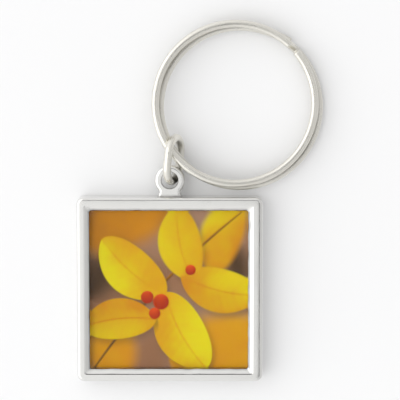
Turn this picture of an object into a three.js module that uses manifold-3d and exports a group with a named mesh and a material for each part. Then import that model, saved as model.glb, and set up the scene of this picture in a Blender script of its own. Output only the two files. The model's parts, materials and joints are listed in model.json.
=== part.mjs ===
// A square key ring: a cast case with a picture plate under a clear cover, an oval link
// through the eyelet of the case, and a double-coil split ring through the link.
//
// Millimetres, +Z up. The key ring lies flat, picture up. The origin is the middle of the
// flat back of the case; the eyelet, the link and the ring lie towards +Y.

import * as THREE from 'three';
import { mergeVertices } from 'three/addons/utils/BufferGeometryUtils.js';
import Module from 'manifold-3d';

const degrees = THREE.MathUtils.degToRad;

// ---------------------------------------------------------------- driving dimensions

// The case: a shallow square tray with a raised bezel.
const CASE_SIZE = 35;
const CASE_THICKNESS = 4.8;
const CASE_CORNER_RADIUS = 1.3;
const BACK_EDGE_RADIUS = 0.3;
const BEZEL_EDGE_RADIUS = 0.5;
const BEZEL_WIDTH = 1.5;           // from the outer face to the start of the chamfer
const CHAMFER_WIDTH = 0.4;
const CHAMFER_DEPTH = 0.24;
const LEDGE_WIDTH = 0.4;           // the steeper slope below the chamfer
const LEDGE_DEPTH = 0.36;
const FLOOR_THICKNESS = 1.6;
const INNER_CORNER_RADIUS = 0.4;

// What lies in the tray.
const PLATE_THICKNESS = 1.0;
const INSERT_CLEARANCE = 0.12;     // round the plate and the cover
const COVER_BEVEL_WIDTH = 0.15;
const COVER_BEVEL_DEPTH = 0.12;

// The eyelet, cast in one with the case.
const EYELET_CENTRE_Y = 20.65;
const EYELET_RADIUS = 2.86;
const EYELET_HOLE_RADIUS = 1.58;
const EYELET_BOTTOM = 2.1;
const EYELET_THICKNESS = 1.7;
const EYELET_EDGE_ROUNDING = 0.4;
const NECK_ROOT_HALF_WIDTH = 2.45;
const NECK_WAIST_HALF_WIDTH = 1.85;
const NECK_ROOT_DEPTH = 0.8;       // how far the neck is sunk into the case wall
const NECK_JOIN_ANGLE = degrees(-42);

// The oval link of round wire.
const LINK_WIRE = 1.5;
const LINK_LENGTH = 9.7;           // over the wire
const LINK_WIDTH = 7.6;            // over the wire
const LINK_JOINT_GAP = 0.12;       // between the butted wire ends
const LINK_CENTRE = new THREE.Vector3(0.76, 24.6, 3.68);
const LINK_LEAN = degrees(-21.5);  // about the link's own length
const LINK_YAW = degrees(-5.9);    // about +Z

// The split ring: one wire, two turns, one crank between them.
const RING_MEAN_RADIUS = 14.96;
const RING_WIRE_WIDTH = 1.44;      // across the ring
const RING_WIRE_HEIGHT = 1.5;      // along the ring's axis
const RING_TURN_PITCH = 1.6;
const RING_CENTRE = new THREE.Vector3(12.65, 34.66, 0);
const RING_TURN_OFFSET = 1.15;     // how far the lower turn lies aside of the upper one
const RING_OFFSET_HEADING = degrees(-32.6);
const RING_UPPER_END = degrees(40.2);
const RING_CRANK_TOP = degrees(47.6);
const RING_CRANK_FOOT = degrees(45.4);
const RING_LOWER_END = degrees(52.3);
const RING_LOWER_END_SPREAD = 0.45;
const RING_SPREAD_ARC = degrees(22);
const RING_SECTION_POWER = 2.6;    // 2 is an ellipse, more is fuller at the corners
const RING_TILT = degrees(3.2);
const RING_RAISED_HEADING = degrees(217);
const RING_GROUND_GAP = 0.02;

// How finely round stretches are cut into facets.
const CORNER_STEPS = 5;
const EDGE_STEPS = 3;
const EYELET_STEPS = 12;
const WIRE_SIDES = 10;
const LINK_STEPS = 44;
const RING_STEPS = 130;
const CRANK_SHARE = 0.1;           // of the ring's steps

// ---------------------------------------------------------------- finishes

const silverPlate = new THREE.MeshStandardMaterial({ color: 0xd9dbdc, metalness: 1, roughness: 0.18 });
const nickelWire = new THREE.MeshStandardMaterial({ color: 0xcfccc4, metalness: 1, roughness: 0.22 });
const print = new THREE.MeshStandardMaterial({ color: 0xd9a21c, metalness: 0, roughness: 0.5 });
const clearResin = new THREE.MeshStandardMaterial({
  color: 0xf4f7f8, metalness: 0, roughness: 0.05, transparent: true, opacity: 0.3,
});

// ---------------------------------------------------------------- solids

const wasm = await Module();
wasm.setup();

// Keeps only position, with shared corners merged.
function welded(geometry) {
  const bare = geometry.clone();
  bare.deleteAttribute('normal');
  bare.deleteAttribute('uv');
  return mergeVertices(bare, 1e-4);
}

function toSolid(geometry) {
  const bare = welded(geometry);
  return new wasm.Manifold(new wasm.Mesh({
    numProp: 3,
    vertProperties: new Float32Array(bare.attributes.position.array),
    triVerts: new Uint32Array(bare.index.array),
  }));
}

function toGeometry(solid) {
  const mesh = solid.getMesh();
  const geometry = new THREE.BufferGeometry();
  geometry.setAttribute('position', new THREE.BufferAttribute(mesh.vertProperties, 3));
  geometry.setIndex(new THREE.BufferAttribute(mesh.triVerts, 1));
  const faceted = geometry.toNonIndexed();
  faceted.computeVertexNormals();
  return faceted;
}

// The corners of a square with rounded corners, counter-clockwise, at height z.
function roundedSquare(half, radius, z) {
  const points = [];
  for (let corner = 0; corner < 4; corner += 1) {
    const start = corner * Math.PI / 2;
    const signX = corner === 0 || corner === 3 ? 1 : -1;
    const signY = corner < 2 ? 1 : -1;
    for (let step = 0; step <= CORNER_STEPS; step += 1) {
      const angle = start + step / CORNER_STEPS * Math.PI / 2;
      points.push(new THREE.Vector3(
        signX * (half - radius) + radius * Math.cos(angle),
        signY * (half - radius) + radius * Math.sin(angle),
        z,
      ));
    }
  }
  return points;
}

// A closed solid between square levels {half, radius, z}, from its first, downward face
// along its walls to its last, upward face.
function squareStack(levels) {
  const rings = levels.map(({ half, radius, z }) => roundedSquare(half, radius, z));
  const count = rings[0].length;
  const corners = rings.flat();
  const triangles = [];
  for (let level = 0; level + 1 < rings.length; level += 1) {
    for (let i = 0; i < count; i += 1) {
      const a = level * count + i;
      const b = level * count + (i + 1) % count;
      triangles.push(a, b, b + count, a, b + count, a + count);
    }
  }
  const lastRing = (rings.length - 1) * count;
  for (let i = 1; i + 1 < count; i += 1) {
    triangles.push(0, i + 1, i);
    triangles.push(lastRing, lastRing + i, lastRing + i + 1);
  }
  const geometry = new THREE.BufferGeometry().setFromPoints(corners);
  geometry.setIndex(triangles);
  return geometry.toNonIndexed();
}

// ---------------------------------------------------------------- the case and its insert

const caseHalf = CASE_SIZE / 2;
const chamferInset = BEZEL_WIDTH + CHAMFER_WIDTH;
const trayInset = chamferInset + LEDGE_WIDTH;
const trayHalf = caseHalf - trayInset;
const chamferFoot = CASE_THICKNESS - CHAMFER_DEPTH;
const ledgeFoot = chamferFoot - LEDGE_DEPTH;

// A level of the case: the corners tighten as the outline moves in.
function caseLevel(inset, z) {
  return {
    half: caseHalf - inset,
    radius: Math.max(CASE_CORNER_RADIUS - inset, INNER_CORNER_RADIUS),
    z,
  };
}

// Levels round a quarter circle, from the side face to the flat face at flatZ. up is 1 for
// the bezel's edge and -1 for the back's.
function edgeLevels(radius, flatZ, up) {
  const levels = [];
  for (let step = 0; step <= EDGE_STEPS; step += 1) {
    const angle = step / EDGE_STEPS * Math.PI / 2;
    levels.push(caseLevel(radius * (1 - Math.cos(angle)), flatZ - up * radius * (1 - Math.sin(angle))));
  }
  return levels;
}

function trayGeometry() {
  return squareStack([
    ...edgeLevels(BACK_EDGE_RADIUS, 0, -1).reverse(),
    ...edgeLevels(BEZEL_EDGE_RADIUS, CASE_THICKNESS, 1),
    caseLevel(BEZEL_WIDTH, CASE_THICKNESS),
    caseLevel(chamferInset, chamferFoot),
    caseLevel(trayInset, ledgeFoot),
    caseLevel(trayInset, FLOOR_THICKNESS),
  ]);
}

// The outline of the eyelet with its neck. Each side of the neck is a hollow curve from the
// case wall to the round head.
function eyeletOutline() {
  const rootY = caseHalf - NECK_ROOT_DEPTH - EYELET_CENTRE_Y;
  const wallY = caseHalf - EYELET_CENTRE_Y;
  const joinX = EYELET_RADIUS * Math.cos(NECK_JOIN_ANGLE);
  const joinY = EYELET_RADIUS * Math.sin(NECK_JOIN_ANGLE);
  const waistY = (wallY + joinY) / 2;
  const outline = new THREE.Shape();
  outline.moveTo(NECK_ROOT_HALF_WIDTH, rootY);
  outline.lineTo(NECK_ROOT_HALF_WIDTH, wallY);
  outline.quadraticCurveTo(NECK_WAIST_HALF_WIDTH, waistY, joinX, joinY);
  outline.absarc(0, 0, EYELET_RADIUS, NECK_JOIN_ANGLE, Math.PI - NECK_JOIN_ANGLE, false);
  outline.quadraticCurveTo(-NECK_WAIST_HALF_WIDTH, waistY, -NECK_ROOT_HALF_WIDTH, wallY);
  outline.lineTo(-NECK_ROOT_HALF_WIDTH, rootY);
  outline.closePath();
  return outline;
}

function eyeletGeometry() {
  const rounding = EYELET_EDGE_ROUNDING;
  const outline = eyeletOutline();
  const hole = new THREE.Path();
  hole.absarc(0, 0, EYELET_HOLE_RADIUS + rounding, 0, 2 * Math.PI, true);
  outline.holes.push(hole);
  const geometry = new THREE.ExtrudeGeometry(outline, {
    depth: EYELET_THICKNESS - 2 * rounding,
    bevelThickness: rounding,
    bevelSize: rounding,
    bevelOffset: -rounding,
    bevelSegments: EDGE_STEPS,
    curveSegments: EYELET_STEPS,
  });
  geometry.translate(0, EYELET_CENTRE_Y, EYELET_BOTTOM + rounding);
  return geometry;
}

function caseGeometry() {
  return toGeometry(toSolid(trayGeometry()).add(toSolid(eyeletGeometry())));
}

// A flat insert of the tray, with an optional bevel round its upper edge.
function insertGeometry(bottom, top, bevelWidth, bevelDepth) {
  const half = trayHalf - INSERT_CLEARANCE;
  const radius = INNER_CORNER_RADIUS;
  const levels = [{ half, radius, z: bottom }];
  if (bevelWidth > 0) {
    levels.push({ half, radius, z: top - bevelDepth });
  }
  levels.push({ half: half - bevelWidth, radius, z: top });
  return squareStack(levels);
}

// ---------------------------------------------------------------- the link

// The middle line of the link's wire: an oval in the local YZ plane, long along Y, open by
// the joint gap in the middle of its lower leg.
class OvalPath extends THREE.Curve {
  constructor() {
    super();
    this.bend = (LINK_WIDTH - LINK_WIRE) / 2;
    this.straight = LINK_LENGTH - LINK_WIDTH;
    this.arcLengthDivisions = 20 * LINK_STEPS;
  }

  getPoint(t, target = new THREE.Vector3()) {
    const { bend, straight } = this;
    const halfTurn = Math.PI * bend;
    const around = 2 * halfTurn + 2 * straight;
    const travel = LINK_JOINT_GAP / 2 + t * (around - LINK_JOINT_GAP);
    const afterFirst = travel - straight / 2;
    const afterTurn = afterFirst - halfTurn;
    const afterUpper = afterTurn - straight;
    if (afterFirst < 0) {
      return target.set(0, travel, -bend);
    }
    if (afterTurn < 0) {
      const angle = afterFirst / bend;
      return target.set(0, straight / 2 + bend * Math.sin(angle), -bend * Math.cos(angle));
    }
    if (afterUpper < 0) {
      return target.set(0, straight / 2 - afterTurn, bend);
    }
    if (afterUpper < halfTurn) {
      const angle = afterUpper / bend;
      return target.set(0, -straight / 2 - bend * Math.sin(angle), bend * Math.cos(angle));
    }
    return target.set(0, -straight / 2 + afterUpper - halfTurn, -bend);
  }
}

// A closed outline of `sides` corners: a rounded oval, fuller than an ellipse where power is
// more than 2.
function ovalSection(width, height, sides, power) {
  const points = [];
  for (let i = 0; i < sides; i += 1) {
    const angle = (i + 0.5) / sides * 2 * Math.PI;
    const [c, s] = [Math.cos(angle), Math.sin(angle)];
    const reach = (Math.abs(c) ** power + Math.abs(s) ** power) ** (-1 / power);
    points.push(new THREE.Vector2(width / 2 * reach * c, height / 2 * reach * s));
  }
  return new THREE.Shape(points);
}

function linkGeometry() {
  return new THREE.ExtrudeGeometry(ovalSection(LINK_WIRE, LINK_WIRE, WIRE_SIDES, 2), {
    steps: LINK_STEPS,
    extrudePath: new OvalPath(),
  });
}

// ---------------------------------------------------------------- the split ring

// The middle line of the ring's wire, clockwise from the upper end: the upper turn, the
// crank, and the lower turn. The wire's section stays upright all the way.
class CoilPath extends THREE.Curve {
  constructor() {
    super();
    const half = RING_TURN_OFFSET / 2;
    this.shift = new THREE.Vector3(
      half * Math.cos(RING_OFFSET_HEADING),
      half * Math.sin(RING_OFFSET_HEADING),
      0,
    );
    this.upperArc = 2 * Math.PI + RING_UPPER_END - RING_CRANK_TOP;
    this.lowerArc = 2 * Math.PI + RING_CRANK_FOOT - RING_LOWER_END;
    this.crankArc = RING_CRANK_TOP - RING_CRANK_FOOT;
  }

  // The angle of the wire, how far it has stepped down (0 to 1), and its spread, at t.
  station(t) {
    const turnShare = (1 - CRANK_SHARE) / 2;
    if (t < turnShare) {
      return { angle: RING_UPPER_END - t / turnShare * this.upperArc, drop: 0, spread: 0 };
    }
    const crankTop = RING_UPPER_END - this.upperArc;
    const inCrank = (t - turnShare) / CRANK_SHARE;
    if (inCrank < 1) {
      const drop = THREE.MathUtils.smoothstep(inCrank, 0, 1);
      return { angle: crankTop - inCrank * this.crankArc, drop, spread: 0 };
    }
    const left = (1 - t) / turnShare * this.lowerArc;
    const end = crankTop - this.crankArc - this.lowerArc;
    const spread = RING_LOWER_END_SPREAD * Math.max(0, 1 - left / RING_SPREAD_ARC) ** 2;
    return { angle: end + left, drop: 1, spread };
  }

  getPoint(t, target = new THREE.Vector3()) {
    const { angle, drop, spread } = this.station(t);
    const radius = RING_MEAN_RADIUS + spread;
    const lift = RING_WIRE_HEIGHT / 2 + (1 - drop) * RING_TURN_PITCH;
    target.set(radius * Math.cos(angle), radius * Math.sin(angle), lift);
    return target.addScaledVector(this.shift, 2 * drop - 1);
  }

  getSpacedPoints(steps) {
    return this.getPoints(steps);
  }

  computeFrenetFrames(steps) {
    const frames = { tangents: [], normals: [], binormals: [] };
    for (let step = 0; step <= steps; step += 1) {
      const { angle } = this.station(step / steps);
      frames.tangents.push(new THREE.Vector3(Math.sin(angle), -Math.cos(angle), 0));
      frames.normals.push(new THREE.Vector3(Math.cos(angle), Math.sin(angle), 0));
      frames.binormals.push(new THREE.Vector3(0, 0, 1));
    }
    return frames;
  }
}

function splitRingGeometry() {
  return new THREE.ExtrudeGeometry(ovalSection(RING_WIRE_WIDTH, RING_WIRE_HEIGHT, WIRE_SIDES, RING_SECTION_POWER), {
    steps: RING_STEPS,
    extrudePath: new CoilPath(),
  });
}

// ---------------------------------------------------------------- the key ring

const keyRing = new THREE.Group();

function place(name, geometry, material, parent) {
  const mesh = new THREE.Mesh(geometry, material);
  mesh.name = name;
  parent.add(mesh);
  return mesh;
}

const plateTop = FLOOR_THICKNESS + PLATE_THICKNESS;
place('case', caseGeometry(), silverPlate, keyRing);
place('picture_plate', insertGeometry(FLOOR_THICKNESS, plateTop, 0, 0), print, keyRing);
place(
  'clear_cover',
  insertGeometry(plateTop, ledgeFoot, COVER_BEVEL_WIDTH, COVER_BEVEL_DEPTH),
  clearResin,
  keyRing,
);

// The link leans about its own length, inside a frame turned about +Z.
const linkFrame = new THREE.Group();
linkFrame.position.copy(LINK_CENTRE);
linkFrame.rotation.z = LINK_YAW;
keyRing.add(linkFrame);
place('link', linkGeometry(), nickelWire, linkFrame).rotation.y = LINK_LEAN;

// The ring rests on the link's lower leg at one side and on the ground at the other.
const ringFrame = new THREE.Group();
const ringReach = RING_MEAN_RADIUS + (RING_TURN_OFFSET + RING_WIRE_WIDTH) / 2;
const tiltAxis = new THREE.Vector3(Math.sin(RING_RAISED_HEADING), -Math.cos(RING_RAISED_HEADING), 0);
ringFrame.position.copy(RING_CENTRE);
ringFrame.position.z = RING_GROUND_GAP + ringReach * Math.sin(RING_TILT);
ringFrame.setRotationFromAxisAngle(tiltAxis, RING_TILT);
keyRing.add(ringFrame);
place('split_ring', splitRingGeometry(), nickelWire, ringFrame);

export default keyRing;
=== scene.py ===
"""A square key ring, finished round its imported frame.

The case and its eyelet, the clear cover, the oval link and the split ring are made here as
fine surfaces, each in the place of its plain solid. The picture plate keeps its solid and
gets its print. The key ring lies on its back, +Z up. Sizes are written in millimetres and
turned to metres as a mesh is made.
"""

from __future__ import annotations

import json
import logging
import math
from dataclasses import dataclass, field
from enum import Enum

import bpy
import numpy as np
import numpy.typing as npt
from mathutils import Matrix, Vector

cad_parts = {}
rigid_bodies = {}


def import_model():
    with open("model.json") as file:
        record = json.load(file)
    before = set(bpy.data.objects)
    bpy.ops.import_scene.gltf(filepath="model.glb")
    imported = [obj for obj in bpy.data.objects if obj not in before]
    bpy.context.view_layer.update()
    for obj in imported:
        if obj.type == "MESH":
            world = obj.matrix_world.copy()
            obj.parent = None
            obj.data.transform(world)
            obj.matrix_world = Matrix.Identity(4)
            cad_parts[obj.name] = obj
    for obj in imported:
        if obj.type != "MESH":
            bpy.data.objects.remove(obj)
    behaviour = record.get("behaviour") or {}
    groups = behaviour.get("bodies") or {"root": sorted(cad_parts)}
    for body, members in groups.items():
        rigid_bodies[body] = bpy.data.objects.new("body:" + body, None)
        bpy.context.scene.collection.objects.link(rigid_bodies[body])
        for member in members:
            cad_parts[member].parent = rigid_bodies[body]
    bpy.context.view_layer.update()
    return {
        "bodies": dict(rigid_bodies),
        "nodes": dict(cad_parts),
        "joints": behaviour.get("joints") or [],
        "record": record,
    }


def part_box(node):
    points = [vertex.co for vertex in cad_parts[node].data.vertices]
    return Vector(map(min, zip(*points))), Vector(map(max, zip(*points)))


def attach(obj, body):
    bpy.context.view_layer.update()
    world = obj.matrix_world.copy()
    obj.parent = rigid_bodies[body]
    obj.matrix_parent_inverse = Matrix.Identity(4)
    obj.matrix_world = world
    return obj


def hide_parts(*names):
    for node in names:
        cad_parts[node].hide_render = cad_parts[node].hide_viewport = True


LOG = logging.getLogger("key_ring")
MM = 0.001
SHARP_ANGLE = math.radians(48.0)
FLAT_HOLD = 0.02  # how far outside a fillet its held point lies

Floats = npt.NDArray[np.float64]
Material = bpy.types.Material
Node = bpy.types.Node
Tree = bpy.types.NodeTree
Socket = bpy.types.NodeSocket
Colour = tuple[float, float, float]
Place = tuple[float, float, float]
Feed = float | tuple[float, ...] | Socket


class Body(Enum):
    """The bodies that pieces ride on."""

    CASE = "case_body"
    LINK = "link_body"
    RING = "ring_body"


class Slot(Enum):
    """The record's material slots."""

    SILVER_PLATE = "silver_plate"
    PRINT = "print"
    CLEAR_COVER = "clear_cover"
    NICKEL_WIRE = "nickel_wire"


class Ends(Enum):
    """What closes the two ends of a shell's rows."""

    CAPPED = "capped"
    JOINED = "joined"


class Pattern(Enum):
    """What a metal's grain follows."""

    OBJECT = "object"
    ALONG_WIRE = "along_wire"


# --- surfaces


@dataclass
class Shell:
    """A closed surface on a grid of points.

    Attributes:
        rows: points in millimetres, shaped (rows, columns, 3); each row is a closed loop.
        ends: whether the first and last rows are capped or joined to each other.
        masks: named values from 0 to 1 on the points.
    """

    rows: Floats
    ends: Ends
    masks: dict[str, Floats] = field(default_factory=dict)

    def faces(self) -> tuple[Floats, Floats]:
        """Joins each point to its neighbours in the next column and row.

        Returns:
            The faces as four point numbers, and their corners' places along the columns and
            rows, from 0 to 1.
        """
        count, around = self.rows.shape[:2]
        numbers = np.arange(count * around).reshape(count, around)
        if self.ends is Ends.JOINED:
            numbers = np.vstack([numbers, numbers[:1]])
        numbers = np.hstack([numbers, numbers[:, :1]])
        down, across = (np.linspace(0.0, 1.0, size) for size in numbers.shape)
        places = np.stack(np.meshgrid(across, down), -1)
        near, far = slice(None, -1), slice(1, None)
        corners = [(near, near), (near, far), (far, far), (far, near)]
        quads = np.stack([numbers[c] for c in corners], -1).reshape(-1, 4)
        return quads, np.stack([places[c] for c in corners], -2).reshape(-1, 4, 2)

    def mesh(self, name: str) -> bpy.types.Mesh:
        """Makes the mesh, in metres, with its UV map and masks.

        The volume inside is a sixth of the sum of a . (b x c) over its triangles. Where that is
        negative, every face is turned over.

        Args:
            name: the mesh's name.

        Returns:
            The mesh.
        """
        points = self.rows.reshape(-1, 3) * MM
        quads, places = self.faces()
        a, b, c, d = (points[quads[:, k]] for k in range(4))
        inside_out = np.sum(a * (np.cross(b, c) + np.cross(c, d))) < 0.0
        if inside_out:
            quads, places = quads[:, ::-1], places[:, ::-1]
        faces = quads.tolist()
        if self.ends is Ends.CAPPED:
            around = self.rows.shape[1]
            first = list(range(around))
            last = [len(points) - around + number for number in first]
            faces += [first, last[::-1]] if inside_out else [first[::-1], last]
        made = bpy.data.meshes.new(name)
        made.from_pydata(points.tolist(), [], faces)
        uv = np.zeros((len(made.loops), 2))
        uv[: quads.size] = places.reshape(-1, 2)
        made.uv_layers.new(name="wrap").data.foreach_set("uv", uv.ravel())
        for mask, values in self.masks.items():
            shown = np.clip(np.broadcast_to(values, self.rows.shape[:2]), 0.0, 1.0)
            attribute = made.attributes.new(mask, "FLOAT", "POINT")
            attribute.data.foreach_set("value", shown.ravel().astype(np.float32))
        made.shade_smooth()
        made.set_sharp_from_angle(angle=SHARP_ANGLE)
        made.validate()
        made.update()
        return made


def bell(values: Floats, middle: float, width: float) -> Floats:
    """A bell curve: exp(-((value - middle) / width) ** 2)."""
    return np.exp(-(((values - middle) / width) ** 2))


def filleted(corners: Floats, radii: Floats, steps: int) -> tuple[Floats, Floats]:
    """Rounds the corners of an open outline.

    An arc ends at radius / tan(half the inner angle) from the corner, its centre lies on the
    bisector at radius / sin(half that angle), and its points stand at equal angles. One more
    point is held just outside each of its ends, so that flats shade flat.

    Args:
        corners: the outline's corners, shaped (count, 2).
        radii: a radius for each corner; the first and last are not rounded.
        steps: the steps of each arc.

    Returns:
        The points and, for each, 1 in the middle of an arc down to 0 at its ends.
    """
    points, bend = [corners[:1]], [np.zeros(1)]
    for before, corner, after, radius in zip(corners[:-2], corners[1:-1], corners[2:], radii[1:-1]):
        back = (before - corner) / np.linalg.norm(before - corner)
        ahead = (after - corner) / np.linalg.norm(after - corner)
        half = math.acos(float(np.clip(back @ ahead, -1.0, 1.0))) / 2.0
        reach = radius / math.tan(half)
        bisector = (back + ahead) / np.linalg.norm(back + ahead)
        centre = corner + bisector * radius / math.sin(half)
        start, end = corner + back * reach - centre, corner + ahead * reach - centre
        turn = math.pi - 2.0 * half
        part = np.linspace(0.0, 1.0, steps + 1)[:, None]
        blend = np.sin((1.0 - part) * turn) * start + np.sin(part * turn) * end
        held = [(corner + way * (reach + FLAT_HOLD))[None] for way in (back, ahead)]
        points += [held[0], centre + blend / math.sin(turn), held[1]]
        bend += [np.zeros(1), np.sin(part[:, 0] * math.pi), np.zeros(1)]
    return np.vstack([*points, corners[-1:]]), np.concatenate([*bend, np.zeros(1)])


@dataclass(frozen=True)
class Wire:
    """Wire of one section with rounded edges at its cut ends, in millimetres.

    Attributes:
        width, height: its sizes across the path and upward.
        power: 2 for an elliptic section, more for a fuller one.
        end_rounding: the radius of the ends' edges.
        sides: how many points the section has.
    """

    width: float
    height: float
    power: float
    end_rounding: float
    sides: int = 32

    def section(self) -> Floats:
        """The outline |x / half width| ** power + |y / half height| ** power = 1.

        Returns:
            Its points, shaped (sides, 2).
        """
        angle = (np.arange(self.sides) + 0.5) / self.sides * 2.0 * np.pi
        c, s = np.cos(angle), np.sin(angle)
        reach = (np.abs(c) ** self.power + np.abs(s) ** self.power) ** (-1.0 / self.power)
        return np.stack([self.width / 2.0 * reach * c, self.height / 2.0 * reach * s], -1)

    def along(self, path: Floats, side: Floats, up: Floats) -> tuple[Floats, Floats]:
        """Carries the section along a path.

        Each point is the path's point plus the section's x times side plus its y times up.
        Within a radius of an end the section shrinks by the radius less the height of a quarter
        circle there.

        Args:
            path: the middle line, shaped (count, 3).
            side: the direction of the section's x, for the whole path or for each point.
            up: the direction of the section's y, likewise.

        Returns:
            The points, shaped (count, sides, 3), and how far each path point is from an end.
        """
        steps = np.linalg.norm(np.diff(path, axis=0), axis=1)
        travel = np.concatenate([[0.0], np.cumsum(steps)])
        from_end = np.minimum(travel, travel[-1] - travel)
        depth = np.clip(1.0 - from_end / self.end_rounding, 0.0, 1.0)
        shrink = 2.0 * self.end_rounding / self.width * (1.0 - np.sqrt(1.0 - depth**2))
        section = self.section()
        side, up = (np.broadcast_to(way, path.shape)[:, None] for way in (side, up))
        across = section[:, :1] * side + section[:, 1:] * up
        return path[:, None] + (1.0 - shrink)[:, None, None] * across, from_end


def waver(turns: Floats, amount: float, seed: int, lowest: int, highest: int) -> Floats:
    """A gentle unevenness round a closed line: a sum of sines of random phase.

    Args:
        turns: each point's place round the line, from 0 to 1.
        amount: the standard deviation of the sum.
        seed: of the random phases.
        lowest: the fewest waves round the line.
        highest: the most.

    Returns:
        The offset at each point.
    """
    random = np.random.default_rng(seed)
    waves = np.arange(lowest, highest + 1)
    phases = random.uniform(0.0, 2.0 * np.pi, len(waves))
    heights = random.normal(0.0, 1.0, len(waves))
    total = np.sin(2.0 * np.pi * turns[:, None] * waves + phases) @ heights
    return amount * total / math.sqrt(float(heights @ heights) / 2.0)


def placed(name: str, data: bpy.types.ID) -> bpy.types.Object:
    """Makes an object and puts it in the scene.

    Args:
        name: its name.
        data: its mesh, light or camera.

    Returns:
        The object.
    """
    thing = bpy.data.objects.new(name, data)
    bpy.context.scene.collection.objects.link(thing)
    return thing


def add_piece(
    shell: Shell, name: str, body: Body, material: Material
) -> bpy.types.Object:
    """Makes a piece of the key ring.

    Args:
        shell: its surface.
        name: its name.
        body: what it rides on.
        material: its finish.

    Returns:
        The piece.
    """
    mesh = shell.mesh(name)
    mesh.materials.append(material)
    piece = placed(name, mesh)
    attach(piece, body.value)
    LOG.info("%s: %d points", name, len(mesh.vertices))
    return piece


# --- node sheets


def rgba(colour: Feed) -> Feed:
    """A colour with full alpha; a socket stays as it is."""
    return (*colour[:3], 1.0) if isinstance(colour, tuple) else colour


def linear(red: int, green: int, blue: int) -> Colour:
    """Turns a colour as shown, in 0 to 255, into the linear values that shaders take.

    Args:
        red, green, blue: its parts.

    Returns:
        The colour, by ((v + 0.055) / 1.055) ** 2.4, or v / 12.92 for v under 0.04045.
    """
    shown = np.array([red, green, blue]) / 255.0
    curved = np.where(shown <= 0.04045, shown / 12.92, ((shown + 0.055) / 1.055) ** 2.4)
    return tuple(curved.tolist())


@dataclass(frozen=True)
class NodeSheet:
    """Adds nodes to one node tree, whose own nodes stay, and joins them."""

    tree: Tree

    def feed(self, node: Node, fed: dict[str | int, Feed]) -> None:
        """Links sockets to a node's inputs, and sets numbers and colours on them.

        Args:
            node: the node.
            fed: what each input takes, by name or number.
        """
        for name, value in fed.items():
            if isinstance(value, bpy.types.NodeSocket):
                self.tree.links.new(value, node.inputs[name])
            else:
                node.inputs[name].default_value = value

    def add(
        self, kind: str, fed: dict[str | int, Feed] | None = None, **settings: object
    ) -> Node:
        """Adds a node.

        Args:
            kind: its type's name.
            fed: what its inputs take, by name or number.
            settings: its own properties.

        Returns:
            The node.
        """
        node = self.tree.nodes.new(kind)
        for name, value in settings.items():
            setattr(node, name, value)
        self.feed(node, fed or {})
        return node

    def math(self, operation: str, first: Feed, second: Feed = 0.0, clamp: bool = False) -> Socket:
        """Works out one sum of two values, held between 0 and 1 where clamp is set."""
        fed = {0: first, 1: second}
        return self.add("ShaderNodeMath", fed, operation=operation, use_clamp=clamp).outputs[0]

    def times(self, first: Feed, second: Feed) -> Socket:
        """Multiplies two values."""
        return self.math("MULTIPLY", first, second)

    def plus(self, first: Feed, second: Feed, clamp: bool = False) -> Socket:
        """Adds two values."""
        return self.math("ADD", first, second, clamp)

    def minus(self, first: Feed, second: Feed, clamp: bool = False) -> Socket:
        """Takes the second value from the first."""
        return self.math("SUBTRACT", first, second, clamp)

    def size(self, value: Feed) -> Socket:
        """A value without its sign."""
        return self.math("ABSOLUTE", value)

    def ramp(
        self, value: Feed, start: Feed, end: Feed, low: float = 0.0, high: float = 1.0
    ) -> Socket:
        """Eases a value from low to high as it goes from start to end."""
        fed = {"Value": value, "From Min": start, "From Max": end, "To Min": low, "To Max": high}
        return self.add("ShaderNodeMapRange", fed, interpolation_type="SMOOTHSTEP").outputs[0]

    def mix(self, share: Feed, first: Feed, second: Feed) -> Socket:
        """Mixes two colours: the first where the share is 0, the second where it is 1."""
        fed = {"Factor": share, 6: rgba(first), 7: rgba(second)}
        return self.add("ShaderNodeMix", fed, data_type="RGBA", clamp_factor=True).outputs[2]

    def place(self, scale: float = 1.0) -> Socket:
        """The Object coordinates, in metres or at another scale."""
        place = self.add("ShaderNodeTexCoord").outputs["Object"]
        return place if scale == 1.0 else self.mapping(place, (scale, scale, scale))

    def mask(self, name: str) -> Socket:
        """One of the mesh's masks."""
        return self.add("ShaderNodeAttribute", attribute_name=name).outputs["Fac"]

    def mapping(self, vector: Socket, scale: Place, turn: Place = (0.0, 0.0, 0.0)) -> Socket:
        """Turns and scales a place."""
        fed = {"Vector": vector, "Rotation": turn, "Scale": scale}
        return self.add("ShaderNodeMapping", fed).outputs["Vector"]

    def noise(
        self, vector: Socket, scale: Feed, detail: float = 2.0, roughness: float = 0.5
    ) -> Socket:
        """Soft random values about 0.5."""
        fed = {"Vector": vector, "Scale": scale, "Detail": detail, "Roughness": roughness}
        return self.add("ShaderNodeTexNoise", fed).outputs["Fac"]

    def group(self, tree: Tree, **fed: Feed) -> bpy.types.NodeOutputs:
        """Places a node group, its inputs given by name, and returns its outputs."""
        named = {name.capitalize(): value for name, value in fed.items()}
        return self.add("ShaderNodeGroup", named, node_tree=tree).outputs

    def bump(
        self, height: Socket, strength: float, distance: float, normal: Socket | None = None
    ) -> Socket:
        """Turns heights from 0 to 1 into a bumped normal.

        Args:
            height: the height.
            strength: from 0 to 1.
            distance: the millimetres that a height of 1 stands for.
            normal: the normal that it adds to.

        Returns:
            The normal.
        """
        fed = {"Height": height, "Strength": strength, "Distance": distance * MM}
        if normal is not None:
            fed["Normal"] = normal
        return self.add("ShaderNodeBump", fed).outputs["Normal"]


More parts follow.
